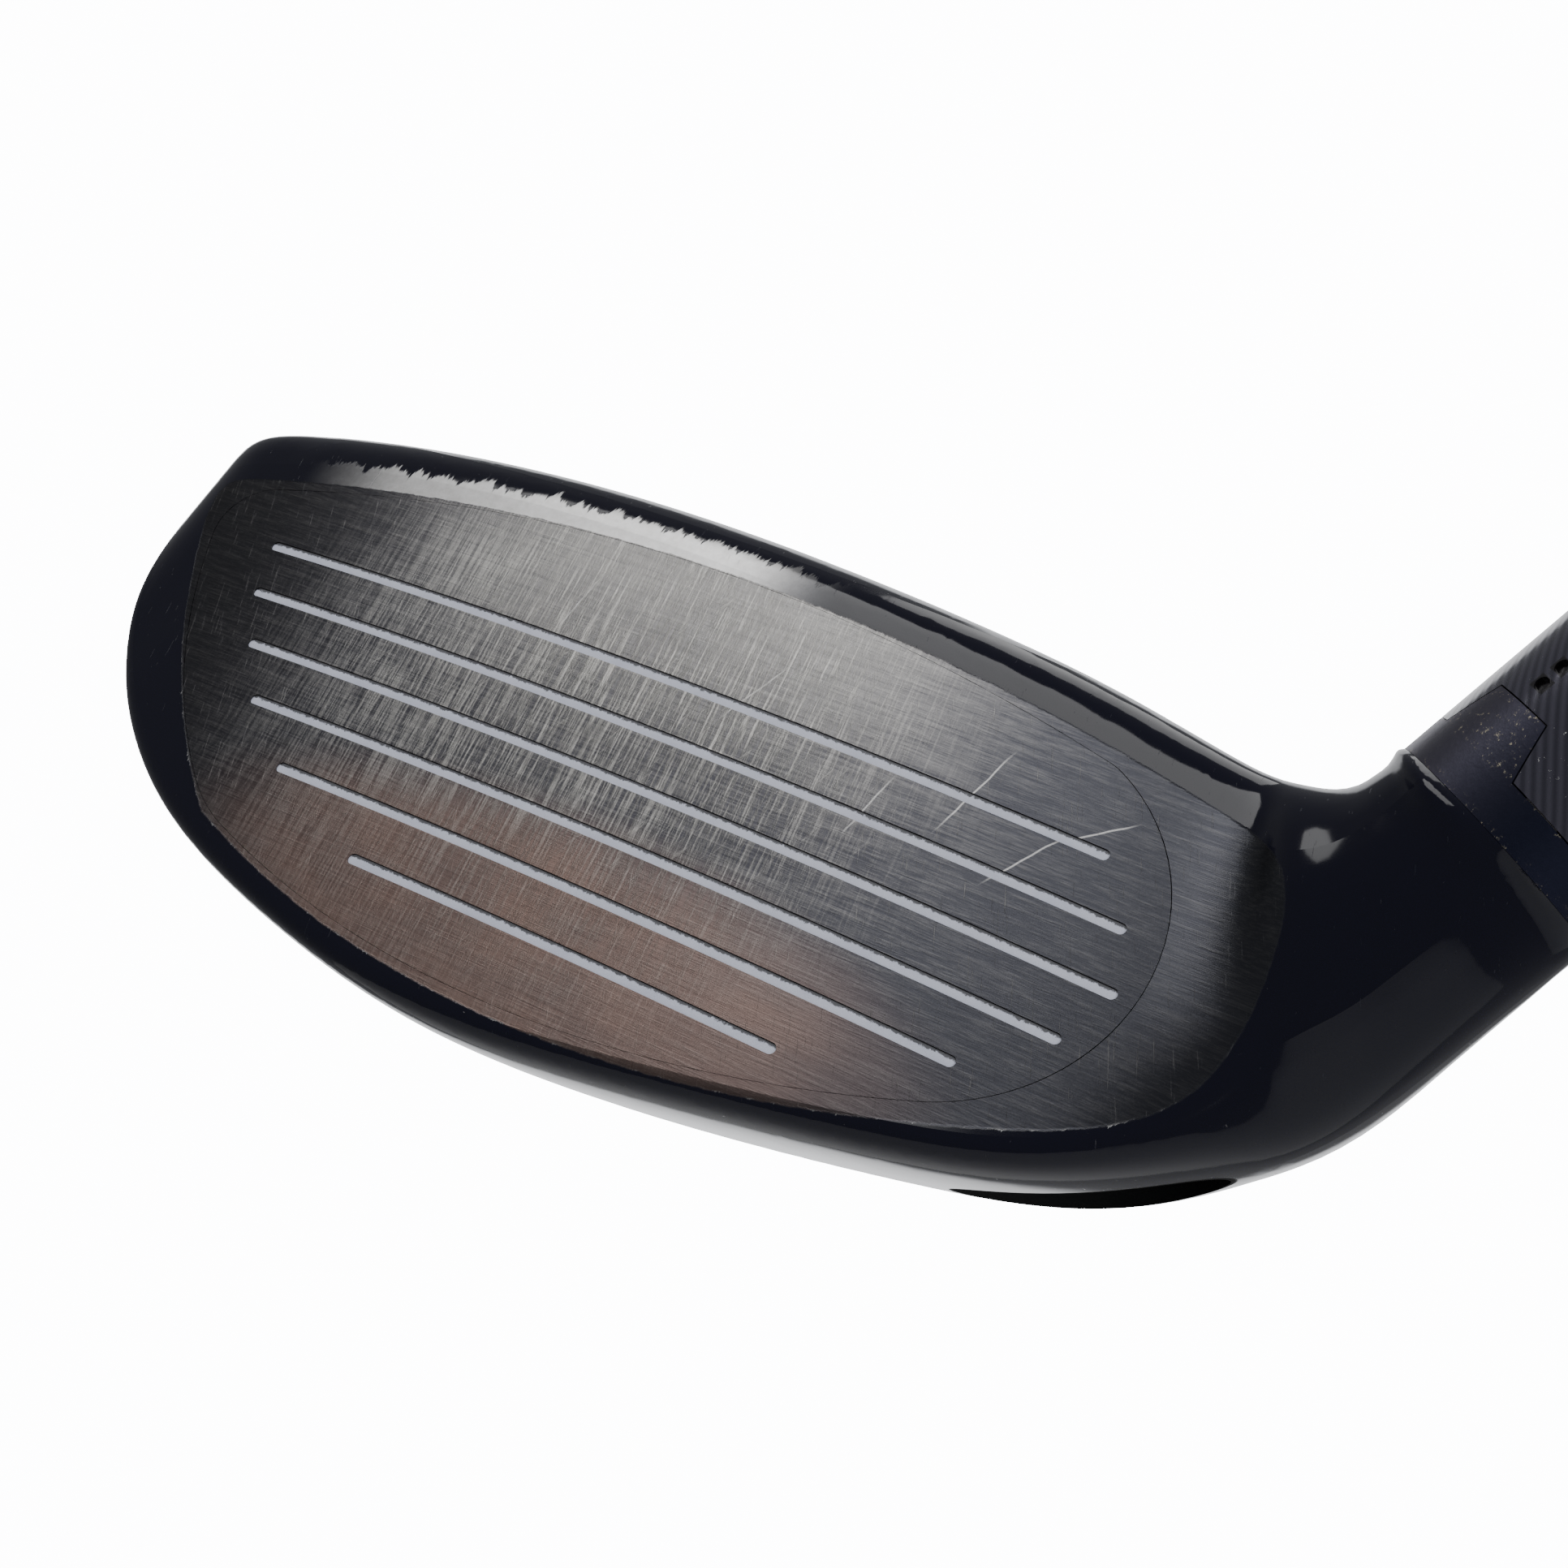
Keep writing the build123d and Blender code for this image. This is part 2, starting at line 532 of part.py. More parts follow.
# ---------------------------------------------------------------- the hosel
def build_hosel():
    """The two toothed rings, the sleeve, the captive screw and the ferrule."""
    parts = {}
    lower = tube(HOSEL_R, BORE_R, NECK_TOP + SEAT_GAP, TOOTH_ROOT)
    crest = tube(HOSEL_R, BORE_R, TOOTH_ROOT, TOOTH_TIP)
    for wedge in tooth_tools(0):
        lower = lower + (crest & wedge)
    skirt = tube(BORE_R + KEY_HEIGHT, BORE_R, NECK_TOP - KEY_DEPTH, NECK_TOP + 0.4)
    for key in key_tools(0, 0):
        lower = lower + (skirt & key)
    parts["lower_ring"] = lower

    upper = tube(HOSEL_R, SLEEVE_R + SEAT_GAP, TOOTH_ROOT + TOOTH_GAP, COG_TOP)
    upper = carve(upper, *tooth_tools(TOOTH_GAP))
    for height in DOT_HEIGHTS:
        drill = Pos(0, 0, height) * Rot(0, 90, 0) * Cylinder(DOT_DIAMETER / 2, 2 * DOT_DEPTH)
        upper = upper - AXIS.location * Rot(0, 0, TOOTH_CENTRE - 90) * Pos(HOSEL_R, 0, 0) * drill
    parts["upper_ring"] = upper

    thread_top = SLEEVE_BOTTOM + THREAD_LENGTH
    nut_r = SCREW_DIAMETER / 2 + RUNNING_FIT
    parts["adapter_sleeve"] = turned([(nut_r, SLEEVE_BOTTOM), (SLEEVE_R, SLEEVE_BOTTOM), (SLEEVE_R, COG_TOP),
                                      (SLEEVE_BORE_R, COG_TOP), (SLEEVE_BORE_R, thread_top),
                                      (nut_r, thread_top)])
    parts["shaft_bond"] = tube(SLEEVE_BORE_R - SEAT_GAP, SHAFT_TIP_R + SEAT_GAP, SHAFT_FOOT, COG_TOP - 0.3)

    # the screw: socket head in the heel, plain neck through the web, ridged thread in the sleeve
    head_top = WEB_BOTTOM - WASHER_THICKNESS
    head_foot = head_top - SCREW_HEAD_HEIGHT
    major, minor = SCREW_DIAMETER / 2, SCREW_DIAMETER / 2 - SCREW_THREAD_DEPTH
    tip = thread_top - SCREW_PITCH
    profile = [(0, head_foot), (SCREW_HEAD_OD / 2 - 0.5, head_foot), (SCREW_HEAD_OD / 2, head_foot + 0.5),
               (SCREW_HEAD_OD / 2, head_top), (minor, head_top)]
    turns = int((tip - SLEEVE_BOTTOM) / SCREW_PITCH)
    for i in range(turns):
        foot = SLEEVE_BOTTOM + 0.4 + i * SCREW_PITCH
        profile += [(minor, foot), (major, foot + 0.3 * SCREW_PITCH), (major, foot + 0.5 * SCREW_PITCH),
                    (minor, foot + 0.8 * SCREW_PITCH)]
    profile += [(minor, tip), (0, tip)]
    screw = turned(profile)
    screw = screw - AXIS.location * hexagon_socket(SCREW_SOCKET, head_foot - 1, head_foot + SCREW_SOCKET_DEPTH)
    parts["hosel_screw"] = screw
    parts["screw_washer"] = tube(SCREW_HEAD_OD / 2, SCREW_DIAMETER / 2 + 0.2, head_top + SEAT_GAP,
                                 WEB_BOTTOM - SEAT_GAP)
    parts["screw_retainer"] = tube(RETAINER_OD / 2, minor + SEAT_GAP, BORE_BOTTOM + SEAT_GAP,
                                   BORE_BOTTOM + SEAT_GAP + RETAINER_HEIGHT)

    bore = SHAFT_TIP_R + SEAT_GAP
    foot = COG_TOP + SEAT_GAP
    parts["ferrule"] = turned([(bore, foot), (HOSEL_R - 0.15, foot), (HOSEL_R - 0.15, foot + 3),
                               (HOSEL_R - 0.55, foot + 9), (HOSEL_R - 1.2, foot + 15), (bore + 0.35, FERRULE_TOP),
                               (bore, FERRULE_TOP)])
    return parts


# ---------------------------------------------------------------- the shaft and grip
def build_shaft():
    """The tapered tube, its tip plug, and the grip with its tape and cap."""
    parts = {}
    tip_bore = SHAFT_TIP_R - SHAFT_TIP_WALL
    butt_bore = SHAFT_BUTT_OD / 2 - SHAFT_BUTT_WALL
    parts["shaft"] = turned([(tip_bore, SHAFT_FOOT), (SHAFT_TIP_R, SHAFT_FOOT), (SHAFT_TIP_R, TAPER_START),
                             (SHAFT_BUTT_OD / 2, SHAFT_END), (butt_bore, SHAFT_END)])
    parts["tip_plug"] = rod(tip_bore - SEAT_GAP, SHAFT_FOOT + 0.5, SHAFT_FOOT + 0.5 + PLUG_LENGTH)

    tape_low, tape_high = GRIP_MOUTH + 3, SHAFT_END - 1
    tape_in = [shaft_radius(h) + SEAT_GAP for h in (tape_low, tape_high)]
    parts["grip_tape"] = turned([(tape_in[0], tape_low), (tape_in[0] + TAPE_THICKNESS, tape_low),
                                 (tape_in[1] + TAPE_THICKNESS, tape_high), (tape_in[1], tape_high)])
    cover = TAPE_THICKNESS + 2 * SEAT_GAP
    grip_top = CLUB_LENGTH - GRIP_CAP_HEIGHT
    lip = 2.0
    parts["grip"] = turned([(shaft_radius(GRIP_MOUTH) + SEAT_GAP, GRIP_MOUTH), (GRIP_MOUTH_OD / 2 - 0.8, GRIP_MOUTH),
                            (GRIP_MOUTH_OD / 2, GRIP_MOUTH + 1.2), (GRIP_MOUTH_OD / 2, GRIP_MOUTH + 8),
                            (GRIP_BUTT_OD / 2, grip_top), (shaft_radius(grip_top) + cover, grip_top),
                            (shaft_radius(GRIP_MOUTH + lip) + cover, GRIP_MOUTH + lip),
                            (shaft_radius(GRIP_MOUTH + lip) + SEAT_GAP, GRIP_MOUTH + lip)])
    cap_low = grip_top + SEAT_GAP
    cap_r, vent_r = GRIP_CAP_OD / 2, VENT_DIAMETER / 2
    parts["grip_cap"] = turned([(shaft_radius(cap_low) + cover, cap_low), (GRIP_BUTT_OD / 2, cap_low),
                                (cap_r, cap_low + 4.5), (cap_r, CLUB_LENGTH - 1.2), (cap_r - 1.2, CLUB_LENGTH),
                                (vent_r, CLUB_LENGTH), (vent_r, SHAFT_END + SEAT_GAP),
                                (shaft_radius(SHAFT_END) + cover, SHAFT_END + SEAT_GAP)])
    return parts


def as_solids(shape):
    """Every solid of a shape or of a list of shapes."""
    if isinstance(shape, (list, tuple, ShapeList)):
        return [solid for each in shape for solid in as_solids(each)]
    return list(shape.solids())


def main():
    """Write one STEP file for each node."""
    os.makedirs("parts", exist_ok=True)
    nodes = {**build_head(), **build_hosel(), **build_shaft()}
    for name, shape in nodes.items():
        solids = as_solids(shape)
        node = solids[0] if len(solids) == 1 else Compound(children=solids)
        node.label = name
        export_step(node, f"parts/{name}.step")
        volume = sum(solid.volume for solid in solids)
        print(f"{name:18s} solids {len(solids)}  volume {volume / 1000:8.3f} cm3")


if __name__ == "__main__":
    main()
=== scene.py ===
# %% [markdown]
# # A hybrid golf club, finished
#
# The club was built first as twenty solids that fit together and move.  This script loads them as a
# fixed frame and gives every one of them a finish made only of formulas: black paint worn through to
# steel along its edges, a face brushed and scratched by use, anodised and painted rings, a
# clear-coated shaft and a rubber grip.  Then it sets up a camera, a floor and soft light.

# %% Load the frame
import math
import bpy
from mathutils import Matrix, Vector

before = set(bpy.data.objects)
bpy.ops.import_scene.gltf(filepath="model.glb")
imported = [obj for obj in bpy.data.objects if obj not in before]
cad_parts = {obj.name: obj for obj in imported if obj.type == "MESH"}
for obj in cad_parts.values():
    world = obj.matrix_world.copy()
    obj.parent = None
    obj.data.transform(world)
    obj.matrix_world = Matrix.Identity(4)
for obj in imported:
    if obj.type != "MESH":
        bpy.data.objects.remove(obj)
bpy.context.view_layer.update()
print("CAD nodes", len(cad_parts))

# %% [markdown]
# ## The club's own measures
#
# All lengths below are in millimetres.  The shaft's axis leaves the ground at the origin and leans
# 61.5 degrees towards the player.  The face leans back by its loft and bulges on a large radius.
# Heights with HEIGHT in their names are measured along the shaft's axis, from the ground.

# %% The club's own measures
MM = 0.001
LIE = math.radians(61.5)
LOFT = math.radians(19.8)
AXIS_UP = (math.cos(LIE), 0.0, math.sin(LIE))
AXIS_OUT = (math.sin(LIE), 0.0, -math.cos(LIE))
FACE_PROGRESSION = 16.4                 # face in front of the shaft's axis, at the ground
FACE_CENTRE_X = -36.2                   # where the bulge has its crest
BULGE_RADIUS = 293.0
LOWEST_LINE = 7.96                      # lowest score line, measured up the face
LINE_PITCH = 3.6
NECK_TOP_HEIGHT = 36.1                  # where the lower ring sits on the neck
DOTS_HEIGHT = 43.75                     # midway between the two dots of the upper ring
RING_FRONT = math.radians(-90 - 27)     # polar angle of the tooth that carries the dots
print("face centre", FACE_CENTRE_X, "mm from the axis, loft", round(math.degrees(LOFT), 1), "degrees")

# %% [markdown]
# ## Arithmetic on sockets
#
# A material is a graph of small sums.  The class below wraps a socket so that Python's own
# operators write that graph: `a * 2 + b` makes the two Math nodes and links them.  The smooth step
# `rise` is the one other sum that every mask needs, so it is a method too.


# %% Arithmetic on sockets
def plug(tree, slot, item):
    """Link a value into a socket, or set a constant on it."""
    if isinstance(item, Value):
        tree.links.new(item.socket, slot)
    else:
        slot.default_value = item


class Value:
    """A socket of one material's node tree that the usual operators work on."""

    def __init__(self, tree, socket):
        self.tree, self.socket = tree, socket

    def math(self, operation, *others):
        """A Math node on this value and up to two more."""
        made = self.tree.nodes.new("ShaderNodeMath")
        made.operation = operation
        for slot, item in zip(made.inputs, (self, *others)):
            plug(self.tree, slot, item)
        return Value(self.tree, made.outputs[0])

    def __add__(self, other):
        return self.math("ADD", other)

    def __radd__(self, other):
        return self.math("ADD", other)

    def __sub__(self, other):
        return self.math("SUBTRACT", other)

    def __rsub__(self, other):
        return self.math("MULTIPLY", -1).math("ADD", other)

    def __mul__(self, other):
        return self.math("MULTIPLY", other)

    def __rmul__(self, other):
        return self.math("MULTIPLY", other)

    def __truediv__(self, other):
        return self.math("DIVIDE", other)

    def __pow__(self, other):
        return self.math("POWER", other)

    def __abs__(self):
        return self.math("ABSOLUTE")

    def least(self, other):
        """The smaller of two values."""
        return self.math("MINIMUM", other)

    def most(self, other):
        """The larger of two values."""
        return self.math("MAXIMUM", other)

    def rise(self, low, high):
        """0 below low, 1 above high and a smooth step between; falls instead where high < low."""
        made = self.tree.nodes.new("ShaderNodeMapRange")
        made.interpolation_type = "SMOOTHSTEP"
        settings = {"Value": self, "From Min": min(low, high), "From Max": max(low, high),
                    "To Min": float(low > high), "To Max": float(high > low)}
        for name, item in settings.items():
            plug(self.tree, made.inputs[name], item)
        return Value(self.tree, made.outputs[0])


print("a Value takes + - * / ** and abs, and has least, most and rise")

# %% [markdown]
# ## One material
#
# Every finish starts in the same way: the point on the object, in millimetres, and the surface
# that takes the results.  One method, `node`, makes any other node: its type, then its settings,
# then its inputs.  The rest are the few textures and mixes that all the finishes share.


# %% One material
class Look:
    """One material: its coordinates in millimetres, its textures and its surface."""

    def __init__(self, name):
        self.material = bpy.data.materials.new(name)
        self.material.use_nodes = True
        self.tree = self.material.node_tree
        self.surface = self.tree.nodes["Principled BSDF"]
        place = self.node("ShaderNodeTexCoord", {}, {}, "Object")
        scaled = self.node("ShaderNodeVectorMath", {"operation": "SCALE"}, {"Vector": place, "Scale": 1 / MM},
                           "Vector")
        self.x, self.y, self.z = (self.node("ShaderNodeSeparateXYZ", {}, {"Vector": scaled}, axis)
                                  for axis in "XYZ")

    def node(self, kind, settings, inputs, output):
        """Any node: its type, its settings, its inputs, and the output that is wanted."""
        made = self.tree.nodes.new(kind)
        for key, item in settings.items():
            setattr(made, key, item)
        for key, item in inputs.items():
            plug(self.tree, made.inputs[key], item)
        return Value(self.tree, made.outputs[output])

    def noise(self, x, y, z, detail=2.0, roughness=0.5):
        """Smooth noise, 0 to 1, of any three coordinates; one unit is one blob."""
        place = self.node("ShaderNodeCombineXYZ", {}, {"X": x, "Y": y, "Z": z}, "Vector")
        inputs = {"Vector": place, "Scale": 1.0, "Detail": detail, "Roughness": roughness}
        return self.node("ShaderNodeTexNoise", {}, inputs, "Fac")

    def grain(self, scale, detail=5.0, roughness=0.5):
        """Noise that is alike in every direction, with so many blobs to the millimetre."""
        return self.noise(self.x * scale, self.y * scale, self.z * scale, detail=detail, roughness=roughness)

    def blend(self, share, first, second):
        """A colour between two colours: the first where share is 0, the second where it is 1."""
        return self.mix("RGBA", ("Factor_Float", "A_Color", "B_Color", "Result_Color"), share, first, second)

    def between(self, share, first, second):
        """A number between two numbers, in the same way."""
        return self.mix("FLOAT", ("Factor_Float", "A_Float", "B_Float", "Result_Float"), share, first, second)

    def mix(self, kind, slots, share, first, second):
        """A Mix node of one kind; it hides sockets of the same name, so they are found by identifier."""
        made = self.tree.nodes.new("ShaderNodeMix")
        made.data_type = kind
        made.clamp_factor = True
        found = {slot.identifier: slot for slot in (*made.inputs, *made.outputs)}
        for slot, item in zip(slots, (share, first, second)):
            plug(self.tree, found[slot], item)
        return Value(self.tree, found[slots[3]])

    def bump(self, height, depth, strength=1.0):
        """Bend the surface's normal by a height of 0 to 1 that is depth millimetres deep."""
        inputs = {"Height": height, "Distance": depth * MM, "Strength": strength}
        return self.node("ShaderNodeBump", {}, inputs, "Normal")

    def finish(self, **inputs):
        """Set or link the surface's inputs; an underscore stands for a space."""
        for key, item in inputs.items():
            plug(self.tree, self.surface.inputs[key.replace("_", " ")], item)
        return self.material


def dress(material, *names):
    """Give CAD nodes a material in place of their own."""
    for name in names:
        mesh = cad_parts[name].data
        mesh.materials.clear()
        mesh.materials.append(material)
    print(material.name, "with", len(material.node_tree.nodes), "shader nodes, on", ", ".join(names))


# %% [markdown]
# ## Shapes used as masks
#
# A mask is a signed distance in millimetres, negative inside.  The brushed part of the face is
# what three large circles and a straight heel have in common, seen from the front; `soft_most`
# rounds the corners where two of them meet.  The rings, shaft and grip are read in the shaft's own
# coordinates instead: height along the axis and angle round it.

# %% Shapes used as masks
TOP_CIRCLE = (-31.4, -135.8, 167.8)     # centre across, centre up, radius
SOLE_CIRCLE = (-27.1, 82.6, 80.0)
TOE_CIRCLE = (-23.3, 50.7, 52.6)
HEEL_LINE = 10.5
SOLE_CORNER, TOP_CORNER, TOE_CORNER = 9.0, 8.0, 4.0


def circle(look, x, z, radius):
    """Signed distance from a circle of the XZ plane."""
    return ((look.x - x) ** 2 + (look.z - z) ** 2) ** 0.5 - radius


def soft_most(first, second, corner):
    """The larger of two distances, with the corner between them rounded."""
    return first.math("SMOOTH_MAX", second, corner)


def face_edge(look):
    """Signed distance from the border of the brushed steel."""
    top, sole, toe = (circle(look, *shape) for shape in (TOP_CIRCLE, SOLE_CIRCLE, TOE_CIRCLE))
    heel = look.x - HEEL_LINE
    heel_corners = soft_most(sole, heel, SOLE_CORNER).most(soft_most(top, heel, TOP_CORNER))
    return heel_corners.most(soft_most(top, toe, TOE_CORNER)).most(toe)


def depth_behind_face(look):
    """How far a point lies behind the bulged, leaning face surface."""
    bulge = (look.x - FACE_CENTRE_X) ** 2 / (2 * BULGE_RADIUS * math.cos(LOFT))
    return (look.y - look.z * math.tan(LOFT) - bulge + FACE_PROGRESSION) * math.cos(LOFT)


def beside_shaft(look):
    """Height along the shaft's axis, and the distance from it in the plane of the lie."""
    height = look.x * AXIS_UP[0] + look.z * AXIS_UP[2]
    across = look.x * AXIS_OUT[0] + look.z * AXIS_OUT[2]
    return height, across


def round_shaft(look):
    """Height along the shaft's axis, and the polar angle round it in radians."""
    height, across = beside_shaft(look)
    return height, look.y.math("ARCTAN2", across)


print("border circles of", TOP_CIRCLE[2], SOLE_CIRCLE[2], TOE_CIRCLE[2], "mm radius")

# %% [markdown]
# ## The brushed steel
#
# A belt brushes the face from heel to toe, so its lines are noise that is stretched along the face.
# Hundreds of shots then scratch it the other way, most of all round the place where the ball is
# struck.  Painted shade darkens the steel at toe and heel; the steel is brightest high up and stained
# like copper low down.
# A painted picture could show all this, but it would blur close up, so noise draws it.

# %% The brushed steel
STEEL_DARK, STEEL_BRIGHT = (0.050, 0.050, 0.058, 1), (0.52, 0.505, 0.48, 1)
COPPER_STAIN = (0.23, 0.155, 0.13, 1)
TOE_SHADE = (0.022, 0.022, 0.024, 1)
HEEL_SHADE = (0.045, 0.047, 0.056, 1)
STRIKE_X, STRIKE_Z, STRIKE_RADIUS = -34.0, 20.5, 15.0
BRIGHT_X, BRIGHT_Z = -31.0, 24.0        # where the steel turns brighter, upwards
STAIN_X, STAIN_Z, STAIN_WIDE, STAIN_HIGH = -28.0, 7.0, 24.0, 7.5
TOE_SHADE_X = -57.0


def brush_lines(look):
    """Coarse and fine lines along the face: noise squeezed up the face and stretched across it."""
    coarse = look.noise(look.x * 0.10, look.y * 2.0, look.z * 4.5, detail=5.0, roughness=0.75)
    fine = look.noise(look.x * 0.5, look.y * 5.0, look.z * 16.0, detail=3.0, roughness=0.7)
    return coarse, fine


def play_scratches(look):
    """Scratches up the face, of three slants; two of them gather round the place of the strike."""
    x, y, z = look.x, look.y, look.z
    wear = look.noise((x + z * 0.16) * 5.5, y * 0.2, z * 0.20, detail=6.0, roughness=0.75)
    nicks = look.noise((x - z * 0.35) * 4.0, y * 0.3, z * 0.45 + x * 0.1, detail=4.0, roughness=0.7)
    hairs = look.noise((x + z * 0.5) * 9.0, y * 0.3, z * 0.35 - x * 0.1, detail=3.0)
    patches = look.noise(x * 0.09, y * 0.09, z * 0.13, detail=4.0, roughness=0.6)
    struck = circle(look, STRIKE_X, STRIKE_Z, STRIKE_RADIUS).rise(STRIKE_RADIUS, -STRIKE_RADIUS)
    worn_here = struck * (patches * 1.3 + 0.25).least(1.0)
    gathered = wear.rise(0.42, 0.62) * worn_here + nicks.rise(0.58, 0.68) * worn_here * 0.6
    return gathered + hairs.rise(0.64, 0.72) * 0.25


def steel_colour(look, coarse, fine, scratch):
    """The steel's colour before the long marks: lines, scratches, copper stain, and painted shade at toe and
    heel.
    """
    x, y, z = look.x, look.y, look.z
    high_up = (z - BRIGHT_Z).rise(-7.0, 7.0) * abs(x - BRIGHT_X).rise(28.0, 8.0)
    low_down = (((x - STAIN_X) / STAIN_WIDE) ** 2 + ((z - STAIN_Z) / STAIN_HIGH) ** 2).rise(1.5, 0.2)
    stain = low_down * (look.noise(x * 0.16, y * 0.1, z * 0.3, detail=4.0) + 0.35).least(1.0)
    tone = (coarse - 0.5) * 0.55 + (fine - 0.5) * 0.35 + scratch * 0.75 + high_up * 0.30 + 0.03
    brushed = look.blend(tone, STEEL_DARK, STEEL_BRIGHT)
    stained = look.blend(stain * 0.8, brushed, COPPER_STAIN)
    # Painted shade: the steel is darkened towards the toe and towards the heel.
    toe_shaded = look.blend((x - TOE_SHADE_X).rise(10.0, -10.0) * 0.6, stained, TOE_SHADE)
    return look.blend(x.rise(-20.0, 2.0) * 0.55, toe_shaded, HEEL_SHADE)


print("struck round", (STRIKE_X, STRIKE_Z), "mm, within", 2 * STRIKE_RADIUS, "mm")

# %% [markdown]
# ## The long marks
#
# A few scratches are so long that each is drawn on its own: a point, a turn and a length.  Across
# its run a mark is a hair wide, and it fades towards both of its ends.

# %% The long marks
MARK_BRIGHT = (0.75, 0.74, 0.72, 1)
LONG_MARKS = [(-9.0, 24.5, 74, 7.0), (-4.5, 22.0, 58, 6.0), (-14.0, 21.5, 80, 5.0),
              (-24.0, 25.5, 66, 6.0), (-1.5, 25.0, 35, 4.5), (-38.0, 27.0, 84, 5.0)]


def long_marks(look):
    """Share of the surface under the long marks; each is a band round a line that noise bends."""
    marks = 0.0
    for mark_x, mark_z, turn, length in LONG_MARKS:
        cos, sin = math.cos(math.radians(turn)), math.sin(math.radians(turn))
        run = (look.x - mark_x) * cos + (look.z - mark_z) * sin
        bend = look.noise(run * 0.3, 0, mark_x, detail=2.0) * 0.5
        off = (look.z - mark_z) * cos - (look.x - mark_x) * sin + bend
        line = abs(off).rise(0.08, 0.02) * abs(run).rise(length / 2, length / 5)
        marks = line.most(marks)
    return marks


print("long marks", len(LONG_MARKS), "of up to", max(mark[3] for mark in LONG_MARKS), "mm")

# %% [markdown]
# ## The paint and where it is gone
#
# Outside the border the head is near black and glossy.  The top edge is bumped in every bag, so the
# paint there has worn through to silver in a ragged band: its width is a noise that runs along the
# edge.  A thinner band follows the sole, and specks gather beside every edge.  The chips could be
# cut into the mesh, but paint is thinner than a hair, so a mask and a little bump are enough.

# %% The paint and where it is gone
PAINT_BLACK, PAINT_HAIR = (0.0030, 0.0032, 0.0120, 1), (0.05, 0.05, 0.07, 1)
METAL_DULL, METAL_CLEAN = (0.32, 0.31, 0.30, 1), (0.66, 0.66, 0.66, 1)
PORT_BLACK = (0.004, 0.004, 0.005, 1)
TOP_WORN_X, TOP_WORN_Z = -43.0, 30.0    # middle of the worn top band
SOLE_WORN_Z = 16.0                      # the sole's band stays below this
PORT_RADIUS, PORT_ROOF_HEIGHT = 4.6, 19.0       # the screw's port under the heel


def worn_through(look, edge, behind, field):
    """Share of the paint that is gone: the top band, the sole's band and the specks of a noise field."""
    x, z = look.x, look.z
    on_top = (z - TOP_WORN_Z).rise(-2.0, 0.0) * behind.rise(5.0, 3.0)
    top_width = look.noise(x * 0.55, 0, 3.0, detail=6.0, roughness=0.8) * 5.0 - 0.8
    top_band = (edge - top_width).rise(0.10, -0.05) * on_top * abs(x - TOP_WORN_X).rise(21.0, 12.0)
    sole_width = look.noise(x * 0.8, 7.0, 1.0, detail=6.0, roughness=0.8) * 1.4 - 0.75
    sole_band = (edge - sole_width).rise(0.08, -0.04) * (z - SOLE_WORN_Z).rise(2.0, -2.0)
    specks = field.rise(0.70, 0.74) * edge.rise(4.5, 0.5)
    return top_band.most(sole_band * 0.9).most(specks * 0.8).least(1.0)


def paint_hairs(look):
    """Share of the paint under hairline scratches: one noise, stretched along a slant."""
    x, y, z = look.x, look.y, look.z
    return look.noise(x * 7.0 + z * 2.0, y * 1.2, z * 0.7 - y, detail=3.0, roughness=0.6).rise(0.69, 0.74)


def screw_port(look):
    """Share of the surface inside the screw's port, where the casting is unpolished."""
    height, across = beside_shaft(look)
    wide, narrow = PORT_RADIUS + 0.20, PORT_RADIUS + 0.05
    below_roof = height.rise(PORT_ROOF_HEIGHT + 1.0, PORT_ROOF_HEIGHT)
    return (across ** 2 + look.y ** 2).rise(wide ** 2, narrow ** 2) * below_roof


print("port", 2 * PORT_RADIUS, "mm across")

# %% [markdown]
# ## The head's finish
#
# One material dresses the casting, the crown and the face plate, because the brushing runs over the
# joint between them.  It lays steel inside the border and paint outside, and gives each its own
# gloss and relief.


# %% The head's finish
def head_finish():
    """Black paint, brushed face, worn edges."""
    look = Look("head_finish")
    edge, behind = face_edge(look), depth_behind_face(look)
    ragged = look.grain(1.3, detail=6.0, roughness=0.7) - 0.5
    steel = (edge + ragged * 0.25).rise(0.12, -0.05) * behind.rise(1.6, 0.9)

    coarse, fine = brush_lines(look)
    scratch = play_scratches(look)
    brushed = steel_colour(look, coarse, fine, scratch)
    marked = look.blend(long_marks(look) * 0.35, brushed, MARK_BRIGHT)

    field = look.grain(1.6, detail=5.0, roughness=0.75)
    hairs, port = paint_hairs(look), screw_port(look)
    bare = worn_through(look, edge, behind, field) * (1.0 - steel)
    paint = look.blend(hairs * 0.35, PAINT_BLACK, PAINT_HAIR)
    coat = look.blend(bare, paint, look.blend(field, METAL_DULL, METAL_CLEAN))
    colour = look.blend(port, look.blend(steel, coat, marked), PORT_BLACK)

    paint_rough = look.grain(0.3, detail=3.0) * 0.06 + 0.055 + hairs * 0.12
    outside_rough = look.between(bare, paint_rough, 0.34)
    rough = look.between(steel, outside_rough, scratch * 0.14 + 0.30).most(port * 0.9)
    outside_relief = hairs * 0.25 - bare
    relief = look.between(steel, outside_relief, coarse * 0.6 + fine * 0.35 + scratch * 0.8 - 1.2)
    return look.finish(Base_Color=colour, Metallic=steel.most(bare), Roughness=rough,
                       Specular_IOR_Level=0.35, Normal=look.bump(relief, 0.022, 0.75))


dress(head_finish(), "head_body", "crown_shell", "face_plate")

# %% [markdown]
# ## The score lines
#
# The lines are filled with enamel.  A speckled painted shade darkens the upper edge of each, so the
# finish first works out how far a point lies from the middle of its own line: the height up the face,
# divided by the pitch, loses its whole part.  The lines could be six materials, but one sum serves them all.

# %% The score lines
ENAMEL_CLEAN, ENAMEL_GRIMY = (0.80, 0.83, 0.97, 1), (0.56, 0.59, 0.74, 1)
GROOVE_SHADE = (0.035, 0.033, 0.035, 1)


